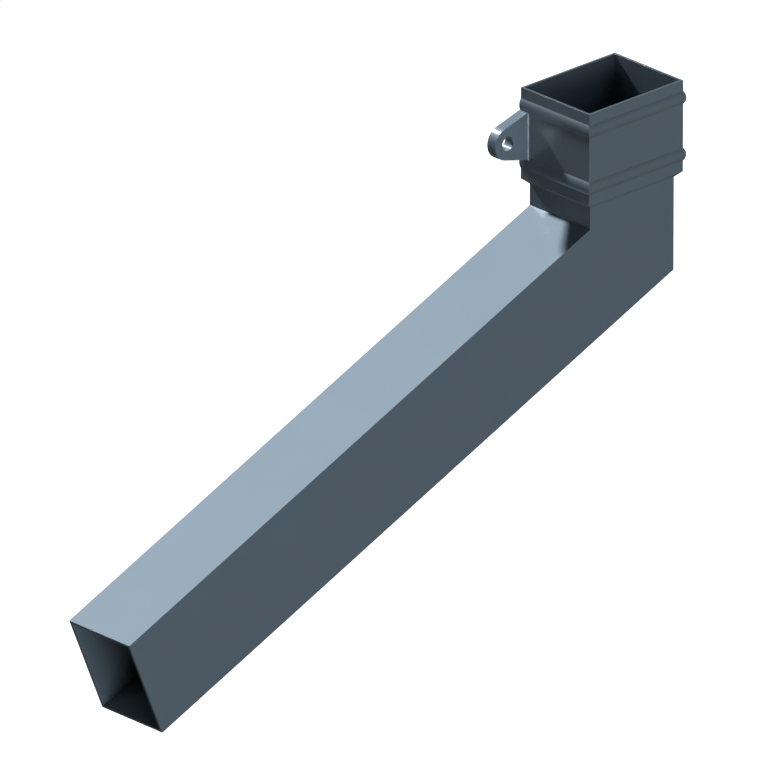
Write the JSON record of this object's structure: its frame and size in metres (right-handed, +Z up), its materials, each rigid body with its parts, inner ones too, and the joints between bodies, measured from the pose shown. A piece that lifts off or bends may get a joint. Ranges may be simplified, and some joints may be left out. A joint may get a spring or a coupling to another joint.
{
  "type": "downpipe elbow",
  "caption": "Rectangular metal downpipe elbow: an upright beaded socket with two fixing ears turns the water through a mitre into a long sloping leg.",
  "frame": {"origin": "on the wall plane, midway between the two ear holes", "axes": "+X along the wall, away from the leg; +Y into the wall; +Z up, out of the socket's mouth"},
  "size_m": [0.6898, 0.087, 0.4276],
  "materials": {
    "coated_metal": "satin blue-grey powder coat on aluminium"
  },
  "bodies": {
    "root": {"downpipe_elbow": "coated_metal"}
  },
  "joints": []
}
